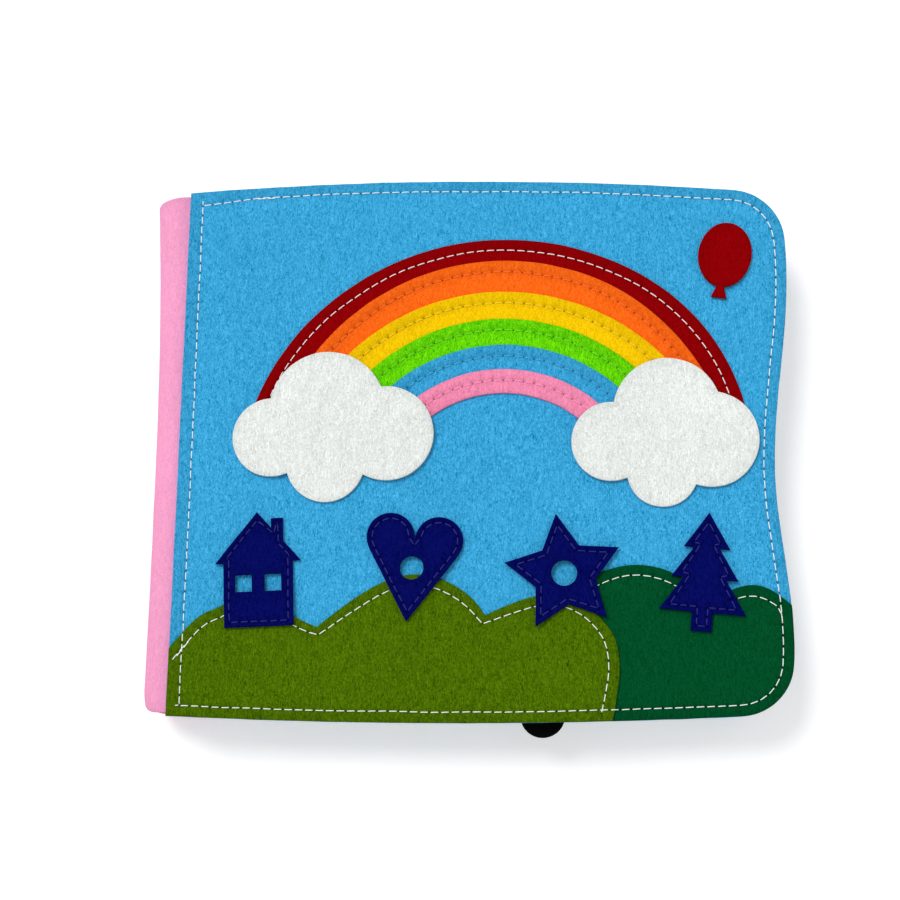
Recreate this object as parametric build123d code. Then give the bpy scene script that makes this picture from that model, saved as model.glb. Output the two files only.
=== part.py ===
from build123d import *
from math import atan, cos, degrees, pi, radians, sin, tan
import os

# A soft picture book of sewn felt, closed and lying on its back cover.
# X runs from the spine to the fore-edge, Y from tail to head, Z up. The origin is on
# the back cover's outer face, under the middle of the front cover. All in mm.
# Places on the cover are shares of its length and height, from its tail corner at
# the spine. Outlines of the figures are shares of their own width and height.

# Felt and fits
felt = 1.5                  # thickness of the felt of covers, leaves and spine
applique = 1.2              # thickness of the felt of the pictures
clearance = 0.3             # air between pieces that only lie against each other

# Covers, two layers of felt each
cover_length = 240.0        # spine edge to fore-edge
cover_height = 211.0        # tail corner to head corner, at the spine edge
cover_corner = 20.0         # radius of the two fore-edge corners
head_rise = 3.8             # the front cover's head edge bows out by this
head_fall = 1.0             # and ends this much lower at the fore-edge
tail_drop = 1.8             # its tail edge bows out by this
tail_lift = 1.8             # and ends this much higher at the fore-edge
fore_dent = 5.6             # its fore-edge is drawn in by this
back_trim_fore = 5.0        # the back cover was cut this much shorter at the fore-edge
back_trim_ends = 3.2        # and this much lower at head and tail
head_crest_share = 0.46     # where along its edge each bow or dent is deepest
tail_crest_share = 0.42
fore_dent_share = 0.44

# Leaves, sewn together along the spine
leaf_count = 5
leaf_gap = 2.1              # air between two leaves at the fore-edge
leaf_inset_fore = 7.0       # the leaves stop short of the cover's fore-edge
leaf_inset_ends = 4.5       # and of its head and tail
leaf_corner = 16.0
bound_depth = 10.0          # depth of the solid bound edge
fan_end_share = 0.54        # the leaves have fanned out at this share of the cover

# Spine strip
spine_flap = 12.0           # width of each flap, under and over a cover
spine_inset = 1.4           # the strip stops short of the cover at head and tail
spine_corner = 3.0          # rounding of the strip's ends, seen from above
spine_slack = 1.8           # it stands off the binding by this

# Felt disc sewn to a leaf, which shows below the tail edge
disc_radius = 8.7
disc_reach = 6.9            # how far it stands out past the cover's tail corners
disc_place_share = 0.602
disc_leaf = 3               # the leaf it lies on, counted from 0 at the back

# Rainbow, six bows: how far each one's radius is from the next one's, from the
# outside in, and how far above the common centre each one was laid by hand
rainbow_centre_shares = (0.537, 0.379)
rainbow_radius = 107.5
red_width = 13.8
red_shift = 2.4
orange_width = 5.9
orange_shift = 7.1
yellow_width = 11.0
yellow_shift = 0.3
green_width = 9.1
green_shift = 0.2
blue_width = 10.3
blue_shift = -1.3
pink_width = 9.5
pink_shift = -0.8
bow_lap = 4.6               # each bow laps over the one outside it by this
bow_joggle = 1.8            # and steps up to it over this width
bow_end_share = 0.547       # all bows end at this height, under the clouds
red_leg_start = 60.0        # angle where the red bow's fore-edge leg draws in
red_leg_end = 18.0          # angle of that leg's foot
red_leg_pull = 6.5          # how far its foot is drawn in

# Clouds, four round lobes each: place, and radius as a share of the cover's length
cloud_left_shares = [
    (0.156, 0.517, 0.0650),
    (0.248, 0.571, 0.0957),
    (0.346, 0.525, 0.0780),
    (0.246, 0.469, 0.0648),
]
cloud_right_shares = [
    (0.713, 0.509, 0.0647),
    (0.804, 0.566, 0.0874),
    (0.874, 0.513, 0.0782),
    (0.796, 0.453, 0.0578),
]

# Hills: each hump is one curve through these places
olive_hump_shares = [
    [(-0.010, 0.113), (0.032, 0.160), (0.088, 0.206), (0.148, 0.215), (0.190, 0.192), (0.238, 0.164)],
    [(0.238, 0.164), (0.319, 0.232), (0.392, 0.262), (0.466, 0.238), (0.510, 0.187)],
    [(0.510, 0.187), (0.572, 0.217), (0.622, 0.225), (0.680, 0.192), (0.726, 0.100), (0.712, -0.030)],
]
green_hump_shares = [
    [(0.610, 0.190), (0.663, 0.247), (0.710, 0.273), (0.760, 0.281), (0.820, 0.261), (0.866, 0.212)],
    [(0.866, 0.212), (0.902, 0.235), (0.942, 0.245), (0.976, 0.229), (1.020, 0.180)],
]
hill_step = 1.2             # width of the step where the olive hill climbs the green

# Navy figures along the hills, and a dark red balloon in the corner
house_width = 34.0
house_height = 45.0
house_place_shares = (0.140, 0.270)
house_tilt = 3.0
house_outline_shares = [
    (-0.40, -0.50), (0.40, -0.50), (0.40, 0.06), (0.50, 0.06), (0.30, 0.236), (0.30, 0.44),
    (0.16, 0.44), (0.16, 0.36), (0.00, 0.50), (-0.50, 0.06), (-0.40, 0.06),
]
house_window = 6.6
house_window_shares = [(-0.17, -0.12), (0.17, -0.12)]
heart_width = 38.0
heart_height = 42.0
heart_hole = 4.6
heart_place_shares = (0.391, 0.273)
heart_tilt = -5.0
star_radius = 23.5
star_hole = 5.0
star_points = 5
star_waist_share = 0.52     # radius between two points, of the star's
star_place_shares = (0.637, 0.264)
star_tilt = 8.0
tree_width = 33.0
tree_height = 46.0
tree_place_shares = (0.862, 0.268)
tree_tilt = -5.0
tree_side_shares = [
    (0.00, 0.50), (0.27, 0.20), (0.15, 0.20), (0.39, -0.06), (0.25, -0.06), (0.50, -0.34),
    (0.12, -0.34), (0.12, -0.50),
]
balloon_width = 21.0
balloon_height = 31.0
balloon_place_shares = (0.900, 0.855)
balloon_tilt = -9.0
knot_width = 6.0
knot_height = 4.5

# Heights, from the back cover up, and lengths that follow
cover_thickness = 2 * felt
leaf = 2 * felt
fan_height = leaf_count * leaf + (leaf_count - 1) * leaf_gap
front_bottom = cover_thickness + fan_height + 2 * clearance
front_top = front_bottom + cover_thickness
middle = front_top / 2
half_length = cover_length / 2
half_height = cover_height / 2
spine_edge = -half_length
spine_radius = fan_height / 2
bound_radius = spine_radius - felt - clearance
bound_gap = (2 * bound_radius - leaf_count * leaf) / (leaf_count - 1)
fan_start = spine_edge + spine_flap + clearance
fan_end = spine_edge + fan_end_share * cover_length
leaf_end = half_length - leaf_inset_fore
orange_radius = rainbow_radius - red_width
yellow_radius = orange_radius - orange_width
green_radius = yellow_radius - yellow_width
blue_radius = green_radius - green_width
pink_radius = blue_radius - blue_width
overrun = cover_thickness   # how far a cutting shape runs past what it cuts


def on_cover(shares):
    """A place on the front cover."""
    along, up = shares
    return (spine_edge + along * cover_length, -half_height + up * cover_height)


def scaled(shares, width, height):
    """An outline's points, from shares of its width and height."""
    return [(across * width, up * height) for across, up in shares]


def sheet(face, bottom, thickness):
    """Flat felt of the outline given, its underside at the height given."""
    return extrude(Pos(0, 0, bottom) * face, thickness, dir=(0, 0, 1))


def rounded_at(face, side, radius):
    """The face with its two corners at one side rounded: 1 fore-edge, -1 spine."""
    centre = face.center().X
    corners = face.vertices().filter_by(lambda corner: side * (corner.X - centre) > 0)
    return fillet(corners, radius)


def back_cover_outline():
    """The back cover: square at the spine, round at the fore-edge, and trimmed."""
    plan = Rectangle(cover_length - back_trim_fore, cover_height - 2 * back_trim_ends)
    return Pos(-back_trim_fore / 2, 0) * rounded_at(plan, 1, cover_corner)


def wavy_cover_outline():
    """The front cover, its edges as handling has left them."""
    head_left = (spine_edge, half_height)
    head_crest = (on_cover((head_crest_share, 1))[0], half_height + head_rise)
    head_right = (half_length - cover_corner, half_height - head_fall)
    head = ThreePointArc(head_left, head_crest, head_right)
    fore_head = (half_length, half_height - head_fall - cover_corner)
    head_corner = TangentArc(head_right, fore_head, tangent=head % 1)

    tail_left = (spine_edge, -half_height)
    tail_crest = (on_cover((tail_crest_share, 0))[0], -half_height - tail_drop)
    tail_right = (half_length - cover_corner, -half_height + tail_lift)
    tail = ThreePointArc(tail_left, tail_crest, tail_right)
    fore_tail = (half_length, -half_height + tail_lift + cover_corner)
    tail_corner = TangentArc(tail_right, fore_tail, tangent=tail % 1)

    dent = (half_length - fore_dent, on_cover((1, fore_dent_share))[1])
    bends = [head_corner % 1, -(tail_corner % 1)]
    fore = Spline(fore_head, dent, fore_tail, tangents=bends)
    return make_face([head, head_corner, fore, tail_corner, tail, Line(tail_left, head_left)])


def round_back(radius, depth, slack=0):
    """Section of the spine side: a half-round back, then straight for the depth. Slack
    moves the back out and makes the straight part longer by as much."""
    back = CenterArc((spine_edge - slack, middle), radius, 90, 180)
    inner = spine_edge + depth
    sides = Polyline(back @ 1, (inner, middle - radius), (inner, middle + radius), back @ 0)
    return make_face([back, sides])


def along_spine(section, length):
    """A section in the XZ plane, drawn out along the spine, half each way."""
    return extrude(Plane.XZ * section, length / 2, both=True)


def spine_strip():
    """One strip of felt bent round the bound edge, a flap on each side of the leaves."""
    hollow = round_back(spine_radius - felt, spine_flap + overrun, spine_slack)
    length = cover_height - 2 * spine_inset
    strip = along_spine(round_back(spine_radius, spine_flap, spine_slack) - hollow, length)
    left = spine_edge - spine_slack - spine_radius
    right = spine_edge + spine_flap
    plan = rounded_at(Rectangle(right - left, length), -1, spine_corner)
    return strip & sheet(Pos((left + right) / 2, 0) * plan, 0, front_top)


def leaf_height(number, gap):
    """Height of the middle of a leaf where the leaves lie the gap given apart."""
    return middle + (number - (leaf_count - 1) / 2) * (leaf + gap)


def leaf_face_points(number, rise):
    """One face of a leaf in section: out of the binding, up its fan, to its edge."""
    low = leaf_height(number, bound_gap) + rise
    high = leaf_height(number, leaf_gap) + rise
    return [(spine_edge, low), (fan_start, low), (fan_end, high), (leaf_end, high)]


def leaf_section(number):
    """A leaf in section, of two layers of felt sewn together."""
    under = leaf_face_points(number, -leaf / 2)
    over = leaf_face_points(number, leaf / 2)
    return make_face(Polyline(*under, *reversed(over), close=True))


def pages():
    """All leaves with their bound edge, which fan out from it to the fore-edge."""
    section = round_back(bound_radius, bound_depth)
    for number in range(leaf_count):
        section += leaf_section(number)
    length = cover_height - 2 * leaf_inset_ends
    block = along_spine(section, length)
    left = spine_edge - bound_radius
    plan = rounded_at(Rectangle(leaf_end - left, length), 1, leaf_corner)
    return block & sheet(Pos((left + leaf_end) / 2, 0) * plan, 0, front_top)


def leaf_disc():
    """The disc on one leaf, half of it out past the tail edge."""
    place = (on_cover((disc_place_share, 0))[0], -half_height - disc_reach + disc_radius)
    leaf_top = leaf_height(disc_leaf, leaf_gap) + leaf / 2
    return sheet(Pos(*place) * Circle(disc_radius), leaf_top, felt)


def bow_centre(shift):
    """Where a bow's compass point stood."""
    along, up = on_cover(rainbow_centre_shares)
    return (along, up + shift)


def disc_cut(radius, shift):
    """A round cutter about a bow's centre, through all the felt on the cover."""
    face = Pos(*bow_centre(shift)) * Circle(radius)
    return sheet(face, front_top - overrun, 3 * overrun)


def above_bow_ends():
    """The space above the height where the bows end."""
    end = on_cover((0, bow_end_share))[1]
    face = Pos(0, end + cover_height / 2) * Rectangle(cover_length, cover_height)
    return sheet(face, front_top - overrun, 3 * overrun)


def lapped_under(radius):
    """How far in the bow outside reaches under a bow of the radius given."""
    return radius - bow_lap + clearance


def lapped_bow(radius, shift):
    """A bow of even thickness, turned about its centre: its inner part lies on the
    cover, and its outer margin is stepped up over the bow outside it."""
    inner = radius / 2
    lap_start = radius - bow_lap
    foot = lap_start - bow_joggle
    bend = applique * tan(atan(applique / bow_joggle) / 2)
    section = make_face(Polyline(
        (inner, 0),
        (foot, 0),
        (lap_start, applique),
        (radius, applique),
        (radius, 2 * applique),
        (lap_start - bend, 2 * applique),
        (foot - bend, applique),
        (inner, applique),
        close=True,
    ))
    turned = revolve(Plane.XZ * section, Axis.Z, 180)
    along, up = bow_centre(shift)
    return Pos(along, up, front_top) * turned & above_bow_ends()


def red_bow():
    """The outermost bow, flat on the cover, one leg drawn in a little."""
    along, up = bow_centre(red_shift)
    crown = CenterArc((along, up), rainbow_radius, red_leg_start, 180 - red_leg_start)
    foot_radius = rainbow_radius - red_leg_pull
    foot_angle = radians(red_leg_end)
    foot = (along + foot_radius * cos(foot_angle), up + foot_radius * sin(foot_angle))
    leg = TangentArc(crown @ 0, foot, tangent=-(crown % 0))
    base = Polyline(foot, (foot[0], up), crown @ 1)
    plate = sheet(make_face([crown, leg, base]), front_top, applique)
    return plate - disc_cut(lapped_under(orange_radius), orange_shift) & above_bow_ends()


def rainbow():
    """The six bows, each cut out along the bow that laps over it."""
    bows = {
        "orange": (orange_radius, orange_shift),
        "yellow": (yellow_radius, yellow_shift),
        "green": (green_radius, green_shift),
        "blue": (blue_radius, blue_shift),
        "pink": (pink_radius, pink_shift),
    }
    cuts = [(lapped_under(radius), shift) for radius, shift in bows.values()][1:]
    cuts.append((pink_radius - pink_width, pink_shift))
    pieces = {"rainbow_red": red_bow()}
    for (colour, (radius, shift)), cut in zip(bows.items(), cuts):
        pieces[f"rainbow_{colour}"] = lapped_bow(radius, shift) - disc_cut(*cut)
    return pieces


def cloud(lobe_shares):
    """A flat cloud that bridges the ends of the bows."""
    face = Sketch()
    for along, up, size in lobe_shares:
        face += Pos(*on_cover((along, up))) * Circle(size * cover_length)
    return sheet(face, front_top + 2 * applique, applique)


def hill_outline(hump_shares):
    """The ground under a row of humps, cut to the cover's own edge."""
    crest = [Spline([on_cover(place) for place in hump]) for hump in hump_shares]
    start = crest[0] @ 0
    end = crest[-1] @ 1
    floor = -half_height - overrun - tail_drop
    ground = Polyline(end, (end.X, floor), (start.X, floor), start)
    return make_face([*crest, ground]) & wavy_cover_outline()


def beyond(place):
    """Everything to the fore-edge side of a place along the cover."""
    return Pos(place + cover_length / 2, 0) * Rectangle(cover_length, 2 * cover_height)


def olive_hill():
    """The near hill: on the cover, and stepped up where it laps over the green one."""
    outline = hill_outline(olive_hump_shares)
    step = on_cover(green_hump_shares[0][0])[0] - clearance
    low = sheet(outline - beyond(step), front_top, applique)
    return low + sheet(outline & beyond(step - hill_step), front_top + applique, applique)


def placed(face, place_shares, tilt):
    """A figure turned by its tilt and set on the cover."""
    return Pos(*on_cover(place_shares)) * Rot(0, 0, tilt) * face


def house_figure():
    """A house with a chimney and two windows."""
    walls = make_face(Polyline(*scaled(house_outline_shares, house_width, house_height), close=True))
    panes = Sketch()
    for across, up in scaled(house_window_shares, house_width, house_height):
        panes += Pos(across, up) * Rectangle(house_window, house_window)
    return placed(walls - panes, house_place_shares, house_tilt)


def heart_figure():
    """A heart of two round lobes and straight sides, with a round hole."""
    lobe = heart_width / 4
    top = heart_height / 2 - lobe
    tip = (0, -heart_height / 2)
    lean = degrees(2 * atan(lobe / (heart_height - lobe)))
    left = CenterArc((-lobe, top), lobe, 0, 180 + lean)
    right = CenterArc((lobe, top), lobe, 180, -180 - lean)
    face = make_face([left, Line(left @ 1, tip), right, Line(right @ 1, tip)])
    return placed(face - Circle(heart_hole), heart_place_shares, heart_tilt)


def star_figure():
    """A plump star with a round hole."""
    radii = [star_radius, star_waist_share * star_radius]
    step = pi / star_points
    corners = [
        (radii[place % 2] * sin(place * step), radii[place % 2] * cos(place * step))
        for place in range(2 * star_points)
    ]
    face = make_face(Polyline(*corners, close=True)) - Circle(star_hole)
    return placed(face, star_place_shares, star_tilt)


def tree_figure():
    """A fir tree of three tiers on its trunk."""
    right = scaled(tree_side_shares, tree_width, tree_height)
    left = [(-across, up) for across, up in reversed(right[1:])]
    return placed(make_face(Polyline(*right, *left, close=True)), tree_place_shares, tree_tilt)


def balloon_figure():
    """A toy balloon with its knot."""
    drop = (balloon_height - knot_height) / 2
    body = Pos(0, knot_height / 2) * Ellipse(balloon_width / 2, drop)
    foot = -balloon_height / 2
    knot = make_face(Polyline(
        (0, foot + 2 * knot_height),
        (-knot_width / 2, foot),
        (knot_width / 2, foot),
        close=True,
    ))
    return placed(body + knot, balloon_place_shares, balloon_tilt)


def figures():
    """The cut figures, each on whatever felt lies highest under it."""
    on_hill = front_top + applique
    on_step = front_top + 2 * applique
    return {
        "house_shape": sheet(house_figure(), on_hill, applique),
        "heart_shape": sheet(heart_figure(), on_hill, applique),
        "star_shape": sheet(star_figure(), on_step, applique),
        "tree_shape": sheet(tree_figure(), on_hill, applique),
        "balloon_shape": sheet(balloon_figure(), front_top, applique),
    }


pieces = {
    "back_cover_face": sheet(back_cover_outline(), 0, felt),
    "back_cover_lining": sheet(back_cover_outline(), felt, felt),
    "spine_strip": spine_strip(),
    "pages": pages(),
    "leaf_disc": leaf_disc(),
    "front_cover_lining": sheet(wavy_cover_outline(), front_bottom, felt),
    "front_cover_face": sheet(wavy_cover_outline(), front_bottom + felt, felt),
    **rainbow(),
    "cloud_left": cloud(cloud_left_shares),
    "cloud_right": cloud(cloud_right_shares),
    "hill_green": sheet(hill_outline(green_hump_shares), front_top, applique),
    "hill_olive": olive_hill(),
    **figures(),
}

os.makedirs("parts", exist_ok=True)
for name, piece in pieces.items():
    export_step(piece, f"parts/{name}.step")
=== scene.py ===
from functools import cache
from math import cos, hypot, pi, radians, sin

import bpy
import numpy as np
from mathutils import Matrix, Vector, noise
from mathutils.geometry import delaunay_2d_cdt
from mathutils.kdtree import KDTree


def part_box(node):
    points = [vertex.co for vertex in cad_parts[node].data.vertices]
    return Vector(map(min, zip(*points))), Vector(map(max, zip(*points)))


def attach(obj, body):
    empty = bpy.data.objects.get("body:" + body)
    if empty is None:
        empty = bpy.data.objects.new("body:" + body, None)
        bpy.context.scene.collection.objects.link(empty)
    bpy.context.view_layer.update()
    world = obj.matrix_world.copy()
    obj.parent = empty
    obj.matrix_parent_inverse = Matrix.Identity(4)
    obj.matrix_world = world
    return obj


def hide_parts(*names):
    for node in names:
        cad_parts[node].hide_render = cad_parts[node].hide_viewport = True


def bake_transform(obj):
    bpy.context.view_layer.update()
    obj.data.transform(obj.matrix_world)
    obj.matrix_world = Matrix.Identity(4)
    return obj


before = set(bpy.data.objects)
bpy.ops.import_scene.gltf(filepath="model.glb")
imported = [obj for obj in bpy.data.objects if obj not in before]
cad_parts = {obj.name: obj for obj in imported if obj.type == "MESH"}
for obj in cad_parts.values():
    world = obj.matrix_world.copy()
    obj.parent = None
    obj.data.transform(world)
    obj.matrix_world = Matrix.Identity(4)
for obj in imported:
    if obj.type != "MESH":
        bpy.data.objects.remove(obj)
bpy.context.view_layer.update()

bl_info = {
    "name": "Felt busy book",
    "version": (1, 0, 0),
    "blender": (4, 5, 0),
    "location": "View3D > Sidebar > Felt book",
    "description": "Cuts, lays and sews the felt of a busy book around its frame",
    "category": "Object",
}

# The book lies closed on its back cover. Everything is in metres, in the frame's axes:
# X from the spine to the fore-edge, Y from tail to head, Z up.
MM = 0.001


def linear(hex_colour):
    """An sRGB hex colour as linear red, green and blue."""
    parts = [int(hex_colour[at:at + 2], 16) / 255 for at in (1, 3, 5)]
    return [c / 12.92 if c <= 0.04045 else ((c + 0.055) / 1.055) ** 2.4 for c in parts]


def size(name, millimetres, description):
    """A length that a user would change."""
    return bpy.props.FloatProperty(
        name=name,
        description=description,
        default=millimetres * MM,
        precision=5,
        unit="LENGTH",
    )


def colour(name, hex_colour, description):
    """A colour that a user would change."""
    return bpy.props.FloatVectorProperty(
        name=name,
        description=description,
        default=linear(hex_colour),
        min=0,
        max=1,
        subtype="COLOR",
    )


class FeltBookSizes(bpy.types.PropertyGroup):
    """Lengths of seams, felt and meshes."""

    stitch: size("Stitch", 4.05, "From one needle hole to the next")
    thread: size("Thread", 0.4, "Diameter of the sewing thread")
    seam_in: size("Cover seam", 4.2, "From a cover's edge to its seam")
    spine_seam_in: size("Spine seam", 5.2, "From a cover's spine edge to its seam")
    hill_seam_in: size("Hill seam", 4.0, "From a hill's edge to its seam")
    bow_seam_in: size("Bow seam", 4.5, "From a bow's outer edge to its seam")
    figure_seam_in: size("Figure seam", 2.1, "From a figure's edge to its seam")
    groove: size("Groove", 0.22, "How far a seam pulls the felt down")
    needle_hole: size("Needle hole", 0.8, "Depth of the pit where the thread goes in")
    ripple: size("Ripple", 0.5, "Height of the ripples in the front cover")
    corner_lift: size("Corner lift", 1.0, "How far the fore-edge of the front cover curls up")
    spine_lean: size("Spine lean", 0.9, "Lean of the covers' spine edges: in at the head, out at the tail")
    leg_pull: size("Leg pull", 1.8, "How far the orange bow's fore-edge leg is drawn in")
    wobble: size("Wobble", 0.12, "How far a cut edge strays from its line")
    cover_mesh: size("Cover mesh", 2.2, "Spacing of the points over a cover")
    piece_mesh: size("Picture mesh", 1.7, "Spacing of the points over a picture's felt")
    leaf_seam_in: size("Leaf seam", 4.0, "From a leaf's edge to its seam")
    leaf_corner: size("Leaf corner", 16, "Rounding of a leaf's fore-edge corners")
    fan_start: size("Fan start", 12.3, "From the spine edge to where the leaves start to fan out")
    fan_end: size("Fan end", 129.6, "From the spine edge to where they are level again")
    spine_corner: size("Spine corner", 3, "Rounding of the spine strip's ends")
    head_slant: size("Head slant", 1.8, "How much lower the spine strip's head is at its back")
    flare: size("Flare", 0.5, "How far the cut edge of a figure stands up")
    leaves: bpy.props.IntProperty(name="Leaves", description="How many leaves", default=5, min=1)


class FeltBookColours(bpy.types.PropertyGroup):
    """Colours of the felts and threads."""

    blue: colour("Blue felt", "#3AA3D6", "Both covers and the blue bow")
    pink: colour("Pink felt", "#F29FC6", "The spine strip")
    rose: colour("Rose felt", "#FE92B8", "The pink bow")
    white: colour("White felt", "#E6EBE7", "Clouds and leaves")
    black: colour("Black felt", "#0B0B0C", "The disc on a leaf")
    dark_red: colour("Dark red felt", "#8B0206", "The red bow and the balloon")
    orange: colour("Orange felt", "#FB6818", "The orange bow")
    yellow: colour("Yellow felt", "#F7C808", "The yellow bow")
    lime: colour("Lime felt", "#66D60B", "The green bow")
    dark_green: colour("Dark green felt", "#034C27", "The far hill")
    olive: colour("Olive felt", "#4A6A05", "The near hill")
    navy: colour("Navy felt", "#070C5C", "House, heart, star and fir tree")
    white_thread: colour("White thread", "#F2F6F4", "Seams of covers, leaves, hills and red bow")


def sizes():
    """The lengths set by the user."""
    return bpy.context.scene.felt_book_sizes


def shade(name):
    """A colour set by the user, as a tuple."""
    return tuple(getattr(bpy.context.scene.felt_book_colours, name))


# Materials

def add_node(tree, kind, settings=(), inputs=()):
    """A node with its settings, and its inputs set or linked from another's output."""
    node = tree.nodes.new(kind)
    for key, value in dict(settings).items():
        setattr(node, key, value)
    for socket, source in dict(inputs).items():
        if isinstance(source, bpy.types.NodeSocket):
            tree.links.new(source, node.inputs[socket])
        else:
            node.inputs[socket].default_value = source
    return node


def maths(tree, operation, *values):
    """What a math node makes of these values."""
    return add_node(tree, "ShaderNodeMath", {"operation": operation}, dict(enumerate(values))).outputs[0]


def noise_of(tree, place, feature, detail, **more):
    """A noise pattern with features of this size."""
    inputs = {"Vector": place, "Scale": 1 / feature, "Detail": detail, **more}
    return add_node(tree, "ShaderNodeTexNoise", inputs=inputs).outputs["Fac"]


def bumped(tree, height, strength, depth, look):
    """Finishes a material: a surface with this look, and bumps by this height."""
    bump = add_node(tree, "ShaderNodeBump", inputs={
        "Strength": strength,
        "Distance": depth,
        "Height": height,
    })
    shader = add_node(tree, "ShaderNodeBsdfPrincipled", inputs={**look, "Normal": bump.outputs["Normal"]})
    add_node(tree, "ShaderNodeOutputMaterial", inputs={"Surface": shader.outputs[0]})


def new_material(name):
    """An empty node material and its tree."""
    material = bpy.data.materials.new(name)
    material.use_nodes = True
    material.node_tree.nodes.clear()
    return material, material.node_tree


# How far a felt's tone strays from its colour: the dense, smooth felts stray least
MOTTLE = {
    "pink": 0.08, "white": 0.13, "rose": 0.14, "dark_red": 0.16, "orange": 0.14, "yellow": 0.14,
    "dark_green": 0.2, "olive": 0.31,
}
USUAL_MOTTLE = 0.24
LUMINANCE = (0.2126, 0.7152, 0.0722)    # of linear red, green and blue


@cache
def needle_punched_felt(name, rgb):
    """Needle-punched polyester felt: staple fibres barbed into a mat and compacted. It is
    matt, with a mottled tone at about 1 mm, fine fibres that lie mostly one way, and a
    soft halo where it turns away. Painted shade carried by the mesh darkens it near cut edges, along seams
    and in needle holes."""
    mottle = MOTTLE.get(name, USUAL_MOTTLE)
    grey = 0.4 * mottle * sum(c * part for c, part in zip(rgb, LUMINANCE))
    deep = [c * (1 - mottle) - min(grey, 0.5 * c) for c in rgb]
    pale = [c * (1 + mottle) + min(grey, 0.5 * c) for c in rgb]
    material, tree = new_material(f"{name} needle-punched polyester felt")
    place = add_node(tree, "ShaderNodeTexCoord").outputs["Object"]
    combed = add_node(tree, "ShaderNodeMapping", inputs={"Vector": place, "Scale": (1, 0.3, 1)}).outputs[0]
    tuft = 0.7 * MM             # size of a tuft, which shows as mottling
    strand = 3 * 0.26 * MM      # three bundles of fibres, drawn coarser than life to show
    drift = 45 * MM             # slow change of tone over a sheet
    tufts = noise_of(tree, place, tuft, 3.0, Roughness=0.6, Distortion=0.8)
    strands = noise_of(tree, combed, strand, 3.0, Roughness=0.8, Distortion=1.6)
    tone = noise_of(tree, place, drift, 2.0)
    # Painted shade: a mesh attribute darkens the felt near cut edges, along seams and in needle holes
    painted_shade = add_node(tree, "ShaderNodeAttribute", {"attribute_name": "painted_shade"}).outputs["Fac"]
    value = maths(tree, "MULTIPLY_ADD", tone, 0.12, 0.94)
    value = maths(tree, "MULTIPLY_ADD", painted_shade, -0.55, value)
    share = maths(tree, "MULTIPLY_ADD", tufts, 1.7, -2.2)
    share = maths(tree, "MULTIPLY_ADD", strands, 3.7, share)
    mottled = add_node(tree, "ShaderNodeMix", {"data_type": "RGBA", "clamp_factor": False}, {
        0: share,
        6: (*deep, 1),
        7: (*pale, 1),
    }).outputs[2]
    tinted = add_node(tree, "ShaderNodeHueSaturation", inputs={
        "Value": value,
        "Color": mottled,
    }).outputs["Color"]
    bumped(tree, maths(tree, "ADD", tufts, strands), 0.55, 0.3 * MM, {
        "Base Color": tinted,
        "Roughness": 0.95,
        "Specular IOR Level": 0.08,
        "Specular Tint": (*rgb, 1),
        "Sheen Weight": 0.1,
        "Sheen Roughness": 0.5,
        "Sheen Tint": (*rgb, 1),
    })
    return material


@cache
def spun_thread(name, rgb):
    """Spun polyester sewing thread: two plies twisted together, with a low sheen."""
    material, tree = new_material(f"{name} spun polyester thread")
    place = add_node(tree, "ShaderNodeTexCoord").outputs["Object"]
    ply = 0.25 * MM             # pitch of the twist
    bumped(tree, noise_of(tree, place, ply, 1.0), 0.4, 0.05 * MM, {
        "Base Color": (*rgb, 1),
        "Roughness": 0.6,
        "Specular IOR Level": 0.35,
        "Sheen Weight": 0.1,
    })
    return material


def slot_of(name):
    """The slot name for a felt colour."""
    return {"rose": "pink"}.get(name, name) + "_felt"


def felt(name):
    """The felt of a colour, and its slot."""
    return needle_punched_felt(name, shade(name)), slot_of(name)


def white_thread():
    """The white thread, and its slot."""
    return spun_thread("White", shade("white_thread")), "white_felt"


def own_thread(name, times):
    """Thread of a felt's own colour, somewhat brighter than the felt, and its slot."""
    return spun_thread(name, tuple(min(1, c * times) for c in shade(name))), slot_of(name)


# Outlines

SHARP = radians(24)             # a corner turns by more than this


def ahead(loop):
    """From each point of a loop to the next."""
    return np.roll(loop, -1, 0) - loop


def turns(loop):
    """How far a loop turns at each point, to the left."""
    x, y = ahead(loop).T
    angle = np.arctan2(y, x)
    return (angle - np.roll(angle, 1) + pi) % (2 * pi) - pi


def runs_down(loop):
    """Which sides of a loop run from head to tail, or nearly."""
    x, y = ahead(loop).T
    return (y < 0) & (np.abs(x) < 0.02 * np.abs(y))


def ramp(place, start, length):
    """0 up to the start, then rising to 1 over the length."""
    return np.clip((place - start) / length, 0, 1)


def nearness(far, reach):
    """1 close by, falling away over the reach."""
    return np.exp(-(far / reach) ** 2)


def noise_at(points, wave, seed):
    """Smooth noise at points, from -1 to 1."""
    return np.array([noise.noise((x / wave, y / wave, seed)) for x, y in points])


def blurred(grid, passes):
    """A grid smoothed over its neighbouring cells."""
    for _ in range(passes):
        for axis in (0, 1):
            grid = (np.roll(grid, 1, axis) + 2 * grid + np.roll(grid, -1, axis)) / 4
    return grid


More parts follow.
